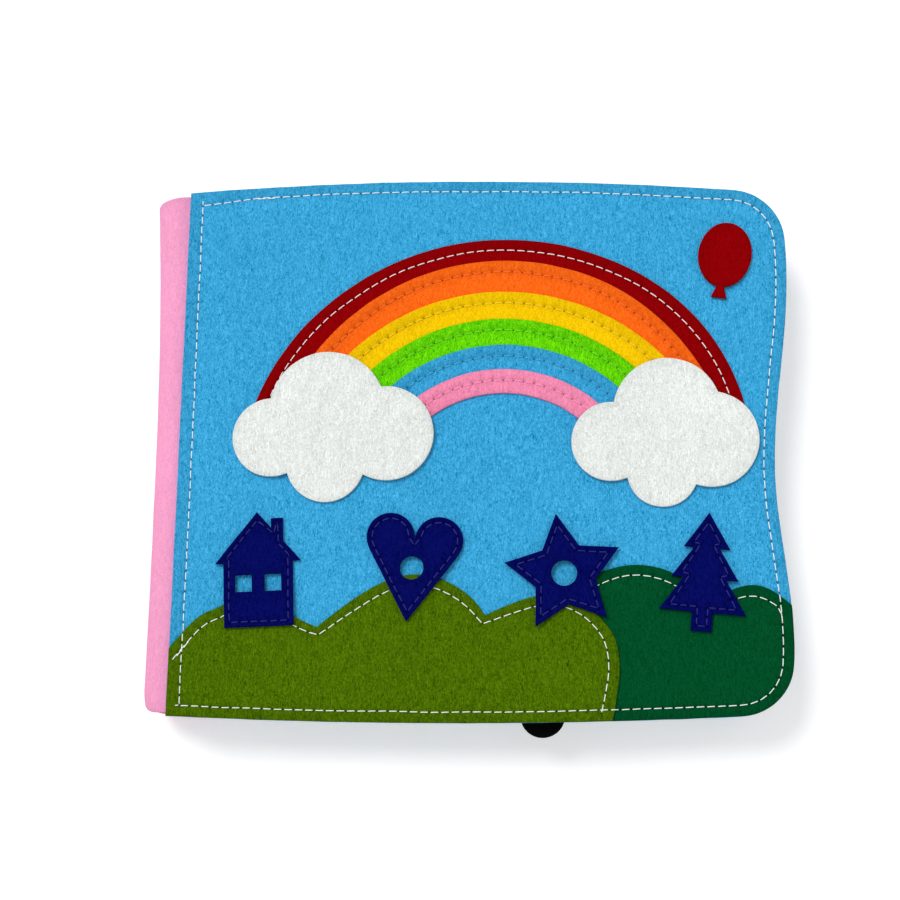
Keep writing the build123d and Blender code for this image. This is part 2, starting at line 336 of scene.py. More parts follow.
def outline_of(node):
    """A node's outline from above: closed loops of points, the felt on their left."""
    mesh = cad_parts[node].data
    mesh.calc_loop_triangles()
    corners = np.array([v.co for v in mesh.vertices])
    places, number = np.unique(np.round(corners[:, :2], 6), axis=0, return_inverse=True)
    number = number.ravel()
    triangles = np.array([t.vertices for t in mesh.loop_triangles])
    a, b, c = (corners[triangles[:, k]] for k in range(3))
    normals = np.cross(b - a, c - a)
    up = normals[:, 2] > 0.1 * np.linalg.norm(normals, axis=1)
    sides = {}
    for triangle in number[triangles[up]]:
        for k in range(3):
            sides[(triangle[k], triangle[(k + 1) % 3])] = True
    following = {p: q for p, q in sides if (q, p) not in sides}
    loops = []
    while following:
        start, loop = next(iter(following)), []
        while start in following:
            loop.append(start)
            start = following.pop(start)
        loops.append(places[loop])
    return sorted(loops, key=lambda loop: -abs(area(loop)))


def area(loop):
    """Area inside a loop, negative where it runs clockwise."""
    x, y = loop[:, 0], loop[:, 1]
    return float(np.sum(x * np.roll(y, -1) - y * np.roll(x, -1)) / 2)


def inset(loop, depth):
    """A loop moved into its felt, by one depth or by one for each side. In a notch it
    turns close by, and at a tip it stays within three depths."""
    along = ahead(loop)
    along /= np.linalg.norm(along, axis=1)[:, None]
    inward = np.stack([-along[:, 1], along[:, 0]], 1)
    depth = np.broadcast_to(depth, len(loop))
    before, depth_before = np.roll(inward, 1, 0), np.roll(depth, 1)
    turn = before[:, 0] * inward[:, 1] - before[:, 1] * inward[:, 0]
    straight = np.abs(turn) < 0.03
    turn = np.where(straight, 1, turn)
    shift = np.stack([
        (depth_before * inward[:, 1] - depth * before[:, 1]) / turn,
        (before[:, 0] * depth - inward[:, 0] * depth_before) / turn,
    ], 1)
    shift = np.where(straight[:, None], inward * depth[:, None], shift)
    reach = np.linalg.norm(shift, axis=1)
    most = np.where(turn < 0, 1.3, 3) * np.maximum(np.abs(depth), np.abs(depth_before))
    return loop + shift * np.minimum(1, most / np.maximum(reach, 1e-12))[:, None]


def evenly(path, step, closed=True):
    """Points at even steps along a path, with its corners kept, and which are corners."""
    path = np.asarray(path, float)
    corners = np.flatnonzero(np.abs(turns(path)) > SHARP)
    if closed:
        corners = corners if len(corners) else np.array([0])
        path = np.roll(path, -corners[0], 0)
        stops = [*(corners - corners[0]), len(path)]
        path = np.concatenate([path, path[:1]])
    else:
        stops = [0, *[c for c in corners if 0 < c < len(path) - 1], len(path) - 1]
    points, kept = [], []
    for first, last in zip(stops, stops[1:]):
        run = path[first:last + 1]
        far = np.concatenate([[0], np.cumsum(np.linalg.norm(np.diff(run, axis=0), axis=1))])
        count = max(1, round(far[-1] / step))
        at = far[-1] * np.arange(count) / count
        points.extend(np.stack([np.interp(at, far, run[:, k]) for k in (0, 1)], 1))
        kept.extend([True] + [False] * (count - 1))
    if not closed:
        points.append(path[-1])
        kept.append(True)
    return np.array(points), np.array(kept)


def cut_edge(loop, seed):
    """A loop as scissors cut it: even points, a little off the line between corners."""
    coarse, fine = 1.1 * MM, 0.55 * MM
    long, wave = 90 * MM, 9 * MM
    length = np.linalg.norm(ahead(loop), axis=1).sum()
    points, corner = evenly(loop, coarse if length > long else fine)
    for _ in range(3):
        smooth = (np.roll(points, 1, 0) + np.roll(points, -1, 0) + 2 * points) / 4
        points = np.where(corner[:, None], points, smooth)
    moved = inset(points, sizes().wobble) - points
    return points + moved * noise_at(points, wave, seed)[:, None]


def part_of(loop, start, end):
    """The part of a loop from the point nearest start on to the point nearest end."""
    first, last = (int(np.argmin(np.hypot(*(loop - place).T))) for place in (start, end))
    turned = np.roll(loop, -first, 0)
    return turned[:(last - first) % len(loop) + 1]


def spans(loops, height):
    """Where the line y = height lies inside loops: pairs of left and right ends."""
    found = []
    for loop in loops:
        a, b = loop, np.roll(loop, -1, 0)
        cut = (a[:, 1] > height) != (b[:, 1] > height)
        a, b = a[cut], b[cut]
        found.extend(a[:, 0] + (height - a[:, 1]) / (b[:, 1] - a[:, 1]) * (b[:, 0] - a[:, 0]))
    found.sort()
    return zip(found[::2], found[1::2])


def within(loop, points):
    """Which points lie inside a loop."""
    a, b = loop[None], np.roll(loop, -1, 0)[None]
    x, y = points[:, 0, None], points[:, 1, None]
    cut = (a[..., 1] > y) != (b[..., 1] > y)
    rise = np.where(cut, b[..., 1] - a[..., 1], 1)
    return ((x < a[..., 0] + (y - a[..., 1]) / rise * (b[..., 0] - a[..., 0])) & cut).sum(1) % 2 == 1


def tree_of(points):
    """A search tree over points in the plane."""
    tree = KDTree(len(points))
    for number, (x, y) in enumerate(points):
        tree.insert((x, y, 0), number)
    tree.balance()
    return tree


def distances(points, tree):
    """How far each point is from the nearest one of the tree."""
    return np.array([tree.find((x, y, 0))[2] for x, y in points])


def thickness_of(node):
    """Height of a flat node."""
    low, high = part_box(node)
    return high.z - low.z


def spine_edge():
    """Where the covers end along the spine."""
    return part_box("back_cover_face")[0].x


@cache
def outlines(node):
    """A node's outline, found once. It leans along the spine edge, as the felt was cut.
    Two of the bows' legs were drawn in a little. The near hill's end leans, and its crest
    is fuller by the spine."""
    loops = outline_of(node)
    pull = sizes().leg_pull
    for loop in loops:
        x, y = loop.T
        at_spine = x < spine_edge() + 0.1 * MM
        x[at_spine] += sizes().spine_lean * y[at_spine] / (100 * MM)
        if node == "rainbow_orange":
            x -= pull * ramp(x, 50 * MM, 35 * MM)
        elif node == "rainbow_red":
            x += 0.56 * pull * ramp(-y, -48 * MM, 36.4 * MM) * (x < 0)
        elif node == "hill_olive":
            upright, most_in, most_out = -83.3 * MM, -2.4 * MM, 1.9 * MM
            lean = np.clip(0.19 * (y - upright), most_in, most_out)
            x += lean * ramp(x, 25 * MM, 15 * MM)
            crest, half_width, fuller = -111.5 * MM, 8.5 * MM, 2.1 * MM
            swell = np.clip(1 - ((x - crest) / half_width) ** 2, 0, 1)
            y += fuller * swell * (y > -90 * MM)
    return loops


# Felt laid on the front cover

BOWS = {
    "red": "dark_red", "orange": "orange", "yellow": "yellow",
    "green": "lime", "blue": "blue", "pink": "rose",
}
HILLS = {"hill_green": "dark_green", "hill_olive": "olive"}
CLOUDS = ("cloud_left", "cloud_right")
FIGURES = ("house_shape", "heart_shape", "star_shape", "tree_shape")
# In the order they are laid, with the slope that each can fall by from what holds it up
LAID = [
    *((f"rainbow_{bow}", 0.5) for bow in BOWS),
    *((hill, 0.35) for hill in HILLS),
    *((cloud, 0.07) for cloud in CLOUDS),
    *((figure, 0.05) for figure in (*FIGURES, "balloon_shape")),
]


class Stack:
    """What lies on the front cover, piece by piece: how high, and which is on top."""

    pitch = 0.5 * MM
    nothing = -1.0

    def __init__(self, low, high, surface):
        margin = 5 * MM
        self.low = np.array(low) - margin
        across, up = np.ceil((np.array(high) + margin - self.low) / self.pitch).astype(int)
        self.x = self.low[0] + self.pitch * np.arange(across)
        self.y = self.low[1] + self.pitch * np.arange(up)
        self.bare = surface(*np.meshgrid(self.x, self.y))
        self.heights = self.bare
        self.top = np.zeros(self.heights.shape, int)
        self.under = {}
        self.names = ["cover"]

    def covered(self, loops):
        """Which cells of the grid lie inside the loops."""
        mask = np.zeros(self.heights.shape, bool)
        for row, height in enumerate(self.y):
            for left, right in spans(loops, height):
                first, last = np.searchsorted(self.x, (left, right))
                mask[row, first:last] = True
        return mask

    def lay(self, name, loops, thickness, slope):
        """Lays a piece: it falls from what holds it up no more steeply than slope, and
        is eased over about a millimetre."""
        mask = self.covered(loops)
        under = np.where(mask, self.heights, self.nothing)
        fall = slope * self.pitch
        for _ in range(int(3 * MM / fall) + 4):
            for axis in (0, 1):
                for way in (1, -1):
                    under = np.maximum(under, np.roll(under, way, axis) - fall)
        held = (under > 0).astype(float)
        under = blurred(under * held, 6) / np.maximum(blurred(held, 6), 1e-6)
        self.under[name] = under
        self.heights = np.where(mask, under + thickness, self.heights)
        self.top[mask] = len(self.names)
        self.names.append(name)

    def sample(self, grid, points):
        """A grid's value at points, between its cells."""
        place = (np.asarray(points) - self.low) / self.pitch
        place = np.clip(place, 0, np.array(grid.shape[::-1]) - 1.001)
        cell = place.astype(int)
        share = place - cell
        column, row = cell[:, 0], cell[:, 1]
        across, up = share[:, 0], share[:, 1]
        lower = grid[row, column] * (1 - across) + grid[row, column + 1] * across
        upper = grid[row + 1, column] * (1 - across) + grid[row + 1, column + 1] * across
        return lower * (1 - up) + upper * up

    def showing(self, name, points):
        """Which points have this piece on top."""
        cell = np.round((np.asarray(points) - self.low) / self.pitch).astype(int)
        return self.top[cell[:, 1], cell[:, 0]] == self.names.index(name)


def cover_ripple(x, y):
    """How far handling has lifted the front cover at a place."""
    ripple = sizes().ripple * (wave_of(x, 83, y, 190, 0.6) + wave_of(x, 140, y, -67, 2.1)) / 4
    curl = sizes().corner_lift * ramp(x, 50 * MM, 65 * MM) ** 2
    return sizes().ripple / 2 + ripple + curl * (0.7 + 0.3 * np.sin(y / (31 * MM)))


def wave_of(x, length_x, y, length_y, phase):
    """A plane wave with the lengths given in millimetres along each axis."""
    return np.sin(2 * pi * (x / (length_x * MM) + y / (length_y * MM)) + phase)


def seam_pull(x, y):
    """How far the cover's seam pulls its two layers together, well away from the line."""
    reach, depth = 5 * MM, 0.3 * MM
    coarse = 4
    rows, columns = x[::coarse, ::coarse], y[::coarse, ::coarse]
    places = np.stack([rows.ravel(), columns.ravel()], 1)
    far = distances(places, tree_of(front_seam().line)).reshape(rows.shape)
    pull = depth * nearness(far, reach)
    whole = np.repeat(np.repeat(pull, coarse, 0), coarse, 1)[:x.shape[0], :x.shape[1]]
    return blurred(whole, 8)


@cache
def front_stack():
    """Everything on the front cover, laid in the order it was sewn."""
    low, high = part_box("front_cover_face")
    stack = Stack(low[:2], high[:2], lambda x, y: high.z + cover_ripple(x, y) - seam_pull(x, y))
    for node, slope in LAID:
        stack.lay(node, outlines(node), thickness_of("cloud_left"), slope)
    return stack


def top_of_stack(points):
    """Height of the top of whatever lies on the front cover, in a seam's groove."""
    return front_stack().sample(front_stack().heights, points) - sizes().groove


def ground_shows(points):
    """Where the cover's seam is in view: on the cover itself and on the hills."""
    return np.any([front_stack().showing(name, points) for name in ("cover", *HILLS)], axis=0)


# Seams

class Seam:
    """A line of lockstitch: the needle's holes, and points along the line between."""

    def __init__(self, path, closed=False, seed=0.0):
        holes, _ = evenly(path, sizes().stitch, closed)
        stray, wave = 0.25 * MM, 14 * MM
        holes += stray * np.column_stack([
            noise_at(holes, wave, seed),
            noise_at(holes[:, ::-1], wave, seed + 5),
        ])
        self.holes = holes
        self.pairs = list(zip(holes, holes[1:]))
        if closed:
            self.pairs.append((holes[-1], holes[0]))
        parts = np.linspace(0, 1, 9)[:-1, None]
        self.line = np.concatenate([a + (b - a) * parts for a, b in self.pairs])


def cover_seam_path(node):
    """The line round a cover, further in along the spine."""
    loop = outlines(node)[0]
    path = inset(loop, np.where(runs_down(loop), sizes().spine_seam_in, sizes().seam_in))
    path, _ = evenly(path, 1.5 * MM)
    x, y = path.T
    drop, reach = 2.2 * MM, 27 * MM     # the head's seam starts this much lower at the spine
    y -= drop * (1 - ramp(x, x.min(), reach)) * np.clip(y / y.max(), 0, 1) ** 8
    return path


@cache
def front_seam():
    """The seam round the front cover."""
    return Seam(cover_seam_path("front_cover_face"), closed=True, seed=1.0)


def hill_seam(node):
    """The seam under a hill's crest, which comes nearer to it in the dips."""
    loop = outlines(node)[0]
    low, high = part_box(node)
    step = 1.2 * MM
    at_spine = runs_down(loop) & (loop[:, 0] < spine_edge() + 2 * MM)
    path = inset(loop, np.where(at_spine, 1.2 * MM, sizes().hill_seam_in))
    if node == "hill_olive":
        from_end, rise = 7.5 * MM, 23 * MM      # its foot from the hill's end, its height at the spine
        path = part_of(path, (high.x - from_end, low.y + sizes().seam_in), (low.x, low.y + rise))
        lean = 0.9 * MM         # its right end is drawn in by this
        path[:, 0] -= lean * ramp(-path[:, 1], -(low.y + 19 * MM), 15 * MM)
    else:
        merge, end = 21 * MM, 16 * MM   # how far under its top it leaves the cover's seam, and ends
        path = part_of(path, (high.x - sizes().seam_in, high.y - merge), (low.x, high.y - end))
    path, _ = evenly(path, step, closed=False)
    drawn, reach = 0.28, 12 * MM
    for dip in loop[turns(loop) < -SHARP]:
        near = nearness(np.hypot(*(path - dip).T), reach)
        path += (dip - path) * drawn * near[:, None]
    path, _ = evenly(path, step, closed=False)
    for _ in range(2):
        path[1:-1] = (path[:-2] + 2 * path[1:-1] + path[2:]) / 4
    return Seam(path, seed=3.0)


def back_tack(seam, chosen):
    """Stitches sewn a second time to lock a seam, half a stitch on and a little beside."""
    beside = 0.35 * MM
    holes = seam.holes[chosen]
    along = holes[1:] - holes[:-1]
    side = np.column_stack([-along[:, 1], along[:, 0]]) / np.linalg.norm(along, axis=1)[:, None]
    return Seam((holes[1:] + holes[:-1]) / 2 + beside * side, seed=7.0)


def bow_seam(node, seed):
    """The seam along a bow's outer edge."""
    low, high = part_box(node)
    path = inset(outlines(node)[0], sizes().bow_seam_in)
    return Seam(part_of(path, (high.x, low.y), (low.x, low.y)), seed=seed)


def figure_seam(node):
    """The seam round a figure's edge. It passes by where the felt is too narrow for it."""
    narrow = 1.2 * MM
    path, _ = evenly(inset(outlines(node)[0], sizes().figure_seam_in), narrow / 3)
    number = np.arange(len(path))
    between = np.abs(number[:, None] - number)
    between = np.minimum(between, len(path) - between)
    near = np.linalg.norm(path[:, None] - path, axis=2) < narrow
    return Seam(path[~(near & (between > 6)).any(1)], closed=True, seed=20.0)


def directions(a, b):
    """Along a stitch, and to its left."""
    along = (b - a) / max(hypot(*(b - a)), 1e-9)
    return along, np.array([-along[1], along[0]])


# A stitch from hole to hole: share of its length, and height in radii of the thread
STITCH = np.array([
    (0.10, -1.6), (0.17, -0.2), (0.27, 0.62), (0.5, 0.85), (0.73, 0.62), (0.83, -0.2), (0.90, -1.6),
])


def stitches(name, seams, surface, look, body, shown=None, plies=6, up=1):
    """The thread of seams as one mesh: each stitch is a short tube, slightly flat, that
    dips into the felt at both ends. up is -1 on an underside."""
    radius = sizes().thread / 2
    rings = STITCH if plies == 6 else STITCH[::2]
    angles = 2 * pi * np.arange(plies) / plies
    points, faces = [], []
    for seam in seams:
        for a, b in seam.pairs:
            levels = surface(a + (b - a) * rings[:, :1])
            if shown is not None:
                seen = shown(np.array([a, b]))
                if not seen.any():
                    continue
                if not seen.all():
                    levels[:] = levels[0] if seen[0] else levels[-1]
            _, side = directions(a, b)
            first = len(points)
            for (share, rise), level in zip(rings, levels):
                centre = a + (b - a) * share + side * radius * 0.5 * (share - 0.5)
                height = level + up * rise * radius
                thin = 0.75 if rise < -1 else 1
                for angle in angles:
                    x, y = centre + side * radius * thin * cos(angle)
                    points.append((x, y, height + 0.8 * radius * thin * sin(angle)))
            faces += walls([plies], len(rings), first)
            faces.append([first + k for k in reversed(range(plies))])
            faces.append([len(points) - plies + k for k in range(plies)])
    finished(name, points, faces, look, body)


def walls(lengths, rings, first=0):
    """Faces between rings of points, where each ring has loops of these lengths."""
    count, faces = sum(lengths), []
    for _ in range(rings - 1):
        for length in lengths:
            for k in range(length):
                p, q = first + k, first + (k + 1) % length
                faces.append((p, q, q + count, p + count))
            first += length
    return faces


def placed(name, data):
    """A new object in the scene."""
    thing = bpy.data.objects.new(name, data)
    bpy.context.scene.collection.objects.link(thing)
    return thing


def finished(name, points, faces, look, body, painted_shade=None):
    """A mesh piece, smooth, with its material and body."""
    material, slot_name = look
    mesh = bpy.data.meshes.new(name)
    mesh.from_pydata([tuple(map(float, p)) for p in points], [], [tuple(map(int, f)) for f in faces])
    mesh.validate()
    mesh.polygons.foreach_set("use_smooth", [True] * len(mesh.polygons))
    # The painted shade, kept on the points for the felt's material to darken by
    if painted_shade is not None:
        attribute = mesh.attributes.new("painted_shade", "FLOAT", "POINT")
        attribute.data.foreach_set("value", np.asarray(painted_shade, np.float32))
    mesh.materials.append(material)
    mesh.update()
    piece = placed(name, mesh)
    if body:
        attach(piece, body)
    return piece


# Cut felt

# Section of a cut edge: how far in from the outline, and share of the thickness
CUT_EDGE = [(0.34, 0.0), (0.08, 0.07), (0.0, 0.24), (0.0, 0.78), (0.07, 0.93), (0.34, 1.0)]
DOUBLE_EDGE = [
    (0.34, 0.0), (0.06, 0.05), (0.0, 0.16), (0.0, 0.38), (0.22, 0.5),
    (0.03, 0.62), (0.03, 0.84), (0.09, 0.95), (0.34, 1.0),
]


def fill(loops, inner):
    """Triangles over the area inside loops, through the inner points."""
    points = np.concatenate([*loops, inner]) if len(inner) else np.concatenate(loops)
    edges, first = [], 0
    for loop in loops:
        count = len(loop)
        edges += [(first + k, first + (k + 1) % count) for k in range(count)]
        first += count
    made = delaunay_2d_cdt([Vector(p) for p in points], edges, [], 1, 1e-8)
    source = [origin[0] for origin in made[3]]
    faces = np.array([[source[k] for k in face] for face in made[2]])
    for hole in loops[1:]:
        faces = faces[~within(hole, points[faces].mean(1))]
    a, b, c = (points[faces[:, k]] for k in range(3))
    turned = (b - a)[:, 0] * (c - a)[:, 1] - (b - a)[:, 1] * (c - a)[:, 0] < 0
    faces[turned] = faces[turned][:, ::-1]
    return faces


def scattered(loops, step, clear):
    """Points in offset rows inside loops, away from the points to keep clear of."""
    low, high = loops[0].min(0), loops[0].max(0)
    points = []
    for row, height in enumerate(np.arange(low[1] + step / 2, high[1], step * 0.866)):
        for left, right in spans(loops, height):
            start = np.ceil(left / step) * step + (step / 2 if row % 2 else 0)
            points += [(x, height) for x in np.arange(start, right, step)]
    points = np.array(points).reshape(-1, 2)
    return points[distances(points, tree_of(clear)) > 0.6 * step] if len(points) else points


def seam_marks(seams, showing):
    """Mesh points along seams where they show: each needle hole with its rim, and rows
    beside the thread. With them comes how deep each lies in its pit."""
    rim, beside, apart = 0.42 * MM, 1.1 * MM, 0.3 * MM
    points, depth = [], []
    for seam in seams:
        for a, b in seam.pairs:
            along, side = directions(a, b)
            points.append(a)
            depth.append(1.0)
            for k in range(6):
                points.append(a + rim * (along * cos(k * pi / 3) + side * sin(k * pi / 3)))
                depth.append(0.1)
            for share in (0.33, 0.66):
                for way in (-beside, 0, beside):
                    points.append(a + (b - a) * share + side * way)
                    depth.append(0.0)
    points, depth = np.array(points), np.array(depth)
    _, first = np.unique(np.round(points / apart).astype(int), axis=0, return_index=True)
    points, depth = points[np.sort(first)], depth[np.sort(first)]
    seen = slice(None) if showing is None else showing(points)
    return points[seen], depth[seen]


def sewn_down(points, shares, pits, edge_of, seams, showing, seen_under):
    """How far seams pull felt into itself at points, and how much shade is painted there: in the needle
    holes, along the seam, and between the seam and the cut edge.
    """
    line = np.concatenate([seam.line for seam in seams])
    if showing is not None:
        line = line[showing(line)]
    far = distances(points, tree_of(line)) if len(line) else np.full(len(points), 1.0)
    way = np.where(shares > 0.5, 1, -1 if seen_under else 0)
    groove_reach, dark_reach, widest = 1.2 * MM, 1.3 * MM, 9 * MM
    pull = way * (sizes().groove * nearness(far, groove_reach) + sizes().needle_hole * pits)
    # Painted shade: needle holes darkest, a little along the seam, and the strip between the seam and the
    # cut edge
    outside = np.clip((sizes().spine_seam_in - edge_of) / MM, 0, 1) * (far < widest)
    return pull, 0.08 * nearness(far, dark_reach) + 0.12 * outside + 1.5 * pits


def cut_felt(name, node, loops, level, thickness, step, look, body, seams=(), showing=None, seed=0.0,
             profile=CUT_EDGE, place=None, seen_under=False, joint=None, extra=None, flare=0.0):
    """A piece of cut felt as one closed mesh. level gives the height of its underside at
    points, and place bends the finished points, where the piece isn't flat. At x = joint
    it meets its other half square, and extra points there keep the bend smooth. flare is
    how far its edge stands up."""
    edges = [cut_edge(loop, seed) for loop in loops]
    rings = [[inset(edge, depth * MM) for edge in edges] for depth, _ in profile]
    if joint is not None:
        for edge in [*edges, *(edge for ring in rings for edge in ring)]:
            edge[np.abs(edge[:, 0] - joint) < 0.5 * MM, 0] = joint
    count = sum(len(edge) for edge in edges)
    points = np.concatenate([edge for ring in rings for edge in ring])
    shares = np.repeat([share for _, share in profile], count)
    faces = walls([len(edge) for edge in edges], len(profile))
    pits = np.zeros(len(points))
    rim = tree_of(np.concatenate(edges))
    for top in (True, False):
        border = rings[-1] if top else rings[0]
        marks, depth = np.zeros((0, 2)), np.zeros(0)
        if seams and (top or seen_under):
            marks, depth = seam_marks(seams, showing if top else None)
            kept = (distances(marks, rim) > 0.6 * MM) & within(border[0], marks)
            for hole in border[1:]:
                kept &= ~within(hole, marks)
            marks, depth = marks[kept], depth[kept]
        if extra is not None:
            marks, depth = extra, np.zeros(len(extra))
        clear = np.concatenate([*border, marks])
        inner = np.concatenate([marks, scattered(border, step if top or seen_under else 3 * step, clear)])
        ring_start = (len(profile) - 1) * count if top else 0
        first = len(points)
        numbers = np.concatenate([ring_start + np.arange(count), np.arange(first, first + len(inner))])
        made = numbers[fill(border, inner)]
        faces += list(made if top else made[:, ::-1])
        points = np.concatenate([points, inner])
        shares = np.concatenate([shares, np.full(len(inner), 1.0 if top else 0.0)])
        pits = np.concatenate([pits, depth, np.zeros(len(inner) - len(marks))])
    heights = level(points) + shares * thickness
    lump, roll = 3.5 * MM, 16 * MM          # widths of the small and of the broad unevenness
    uneven = 0.05 * noise_at(points, lump, seed) + 0.1 * noise_at(points, roll, seed + 9)
    heights += uneven * MM * shares
    flare_reach, dark_reach = 1.3 * MM, 2.2 * MM
    edge_of = distances(points, rim)
    heights += flare * nearness(edge_of, flare_reach)
    # Painted shade: darker within a couple of millimetres of the cut edge
    painted_shade = 0.16 * nearness(edge_of, dark_reach)
    if seams:
        pull, more = sewn_down(points, shares, pits, edge_of, seams, showing, seen_under)
        heights -= pull
        painted_shade += more
    solid = np.column_stack([points, heights])
    if place:
        solid = place(solid)
    piece = finished(name, solid, faces, look, body, painted_shade)
    if joint is not None:
        at_joint = np.abs(points[:, 0] - joint) < 1e-7
        ends = np.array([edge.vertices for edge in piece.data.edges])
        sharp = piece.data.attributes.new("sharp_edge", "BOOLEAN", "EDGE")
        sharp.data.foreach_set("value", at_joint[ends].all(1))
    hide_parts(node)
    return piece


def declare(node, flat=None):
    """Works out a laid sheet's flat size and the area cut to its node's outline, and leaves them unused."""
    low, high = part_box(node)
    flat = flat or (high.x - low.x, high.y - low.y)
    cut = sum(area(loop) for loop in outlines(node))


def laid(node, name, seams=(), seed=0.0, flat=None, flare=0.0):
    """A piece of felt on the front cover, where its node is."""
    stack = front_stack()
    piece = cut_felt(
        f"felt_{node}", node, outlines(node), lambda points: stack.sample(stack.under[node], points),
        thickness_of("cloud_left"), sizes().piece_mesh, felt(name), "front_cover", seams,
        lambda points: stack.showing(node, points), seed, flare=flare,
    )
    declare(node, flat)


def sewn_on_front(node, seams, thread):
    """Thread on the front cover, where the piece that it sews shows."""
    stitches(f"seam_{node}", seams, top_of_stack, thread, "front_cover",
             lambda points: front_stack().showing(node, points))


def cover_layer(node, body, seam, level, seed, seen_under, showing=None):
    """One layer of a cover: a whole sheet of blue felt."""
    piece = cut_felt(
        f"felt_{node}", node, outlines(node), level, thickness_of(node), sizes().cover_mesh,
        felt("blue"), body, [seam], showing, seed, seen_under=seen_under,
    )
    declare(node)


def flat_at(height):
    """The level of a flat surface."""
    return lambda points: np.full(len(points), height)


class FELTBOOK_OT_covers(bpy.types.Operator):
    """Cut the four layers of the two covers and sew round them"""

    bl_idname = "felt_book.covers"
    bl_label = "Covers"

    def execute(self, context):
        stack, seam, white = front_stack(), front_seam(), white_thread()
        face_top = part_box("front_cover_face")[1].z
        groove = sizes().groove

        def above_bare(over):
            return lambda points: stack.sample(stack.bare, points) + over

        def on_cover(points):
            return stack.showing("cover", points)

        for node, seed, seen_under, showing in (
            ("front_cover_face", 2.0, False, on_cover),
            ("front_cover_lining", 1.0, True, None),
        ):
            level = above_bare(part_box(node)[0].z - face_top)
            cover_layer(node, "front_cover", seam, level, seed, seen_under, showing)
        x, y = seam.holes.T
        start, end, below = x.min() + 20 * MM, x.min() + 36 * MM, y.max() - 8 * MM
        locked = back_tack(seam, (y > below) & (x > start) & (x < end))
        # The two seams that meet at each spine corner run on past each other
        past_head, past_tail = (0, 2.8 * MM), (1.9 * MM, 0)
        head, tail = seam.holes[np.argmin(x - y)], seam.holes[np.argmin(x + y)]
        past = [Seam(np.array([head, head + past_head])), Seam(np.array([tail, tail - past_tail]))]
        stitches("seam_front_cover", [seam, locked, *past], top_of_stack, white, "front_cover", ground_shows)
        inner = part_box("front_cover_lining")[0].z - face_top
        stitches("seam_front_lining", [seam], above_bare(inner + groove), white, "front_cover", up=-1)

        back = Seam(cover_seam_path("back_cover_face"), closed=True, seed=2.0)
        for node, seed, seen_under in (("back_cover_face", 3.0, True), ("back_cover_lining", 4.0, False)):
            cover_layer(node, "back_cover", back, flat_at(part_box(node)[0].z), seed, seen_under)
        outer = flat_at(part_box("back_cover_face")[0].z + 2 * groove)
        lining = flat_at(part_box("back_cover_lining")[1].z - groove)
        stitches("seam_back_cover", [back], outer, white, "back_cover", up=-1)
        stitches("seam_back_lining", [back], lining, white, "back_cover")
        return {"FINISHED"}


class FELTBOOK_OT_rainbow(bpy.types.Operator):
    """Cut the six bows and sew each along its outer edge"""

    bl_idname = "felt_book.rainbow"
    bl_label = "Rainbow"

    def execute(self, context):
        narrowest = 10 * MM
        for number, (bow, name) in enumerate(BOWS.items()):
            node = f"rainbow_{bow}"
            seam = bow_seam(node, seed=10.0 + number)
            arc = float(np.linalg.norm(np.diff(seam.line, axis=0), axis=1).sum())
            flat = (max(area(outlines(node)[0]) / arc, narrowest), arc)
            laid(node, name, [seam], seed=30.0 + number, flat=flat)
            sewn_on_front(node, [seam], white_thread() if bow == "red" else own_thread(name, 1.15))
        return {"FINISHED"}


class FELTBOOK_OT_clouds(bpy.types.Operator):
    """Cut the two clouds over the bows' feet"""

    bl_idname = "felt_book.clouds"
    bl_label = "Clouds"

    def execute(self, context):
        for number, node in enumerate(CLOUDS):
            laid(node, "white", seed=40.0 + number, flare=0.6 * sizes().flare)
        return {"FINISHED"}


class FELTBOOK_OT_hills(bpy.types.Operator):
    """Cut the two hills and sew them under their crests"""

    bl_idname = "felt_book.hills"
    bl_label = "Hills"

    def execute(self, context):
        for node, name in HILLS.items():
            seam = hill_seam(node)
            laid(node, name, [seam, front_seam()], seed=50.0)
            locked = [back_tack(seam, slice(-4, None))] if node == "hill_olive" else []
            sewn_on_front(node, [seam, *locked], white_thread())
        return {"FINISHED"}


class FELTBOOK_OT_figures(bpy.types.Operator):
    """Cut the navy figures and the balloon, and sew the figures round their edges"""

    bl_idname = "felt_book.figures"
    bl_label = "Figures"

    def execute(self, context):
        for number, node in enumerate(FIGURES):
            seams = [figure_seam(node)]
            laid(node, "navy", seams, 60.0 + number, flare=sizes().flare)
            sewn_on_front(node, seams, own_thread("navy", 1.6))
        laid("balloon_shape", "dark_red", seed=70.0, flare=sizes().flare)
        return {"FINISHED"}


def bend_round(inner, middle, height, slack=lambda y: 0):
    """Bends a flat strip, u across it, round the binding: half a turn about the spine
    edge, then straight on both sides. slack is how far out it stands at places along."""
    edge = spine_edge()
    quarter = middle * pi / 2

    def place(points):
        u, y, w = points.T
        angle = pi - np.clip(u, -quarter, quarter) / middle
        beyond = np.maximum(np.abs(u) - quarter, 0)
        radius = inner + w
        x = edge - slack(y) + radius * np.cos(angle) + beyond
        return np.column_stack([x, y, height + radius * np.sin(angle)])

    return place


def strip_slack(y):
    """How far the spine strip stands off the binding: most at the head, least at the
    very tail."""
    least, at_head, at_tail, drawn_in = 0.5 * MM, 2.9 * MM, 0.7 * MM, 1.6 * MM
    middle, half_length, tail_start, tail_length = 10 * MM, 94 * MM, 95 * MM, 9 * MM
    from_middle = (y - middle) / half_length
    slack = least + np.where(from_middle > 0, at_head, at_tail) * from_middle ** 2
    return slack - drawn_in * ramp(-y, tail_start, tail_length) ** 2


def leaf_loop(left, right, low, high, radius):
    """A leaf's outline: square at the binding, round at the fore-edge."""
    turn = np.linspace(0, pi / 2, 14)
    foot = [(right - radius + radius * sin(t), low + radius - radius * cos(t)) for t in turn]
    head = [(right - radius + radius * cos(t), high - radius + radius * sin(t)) for t in turn]
    return np.array([(left, low), *foot, *head, (left, high)])


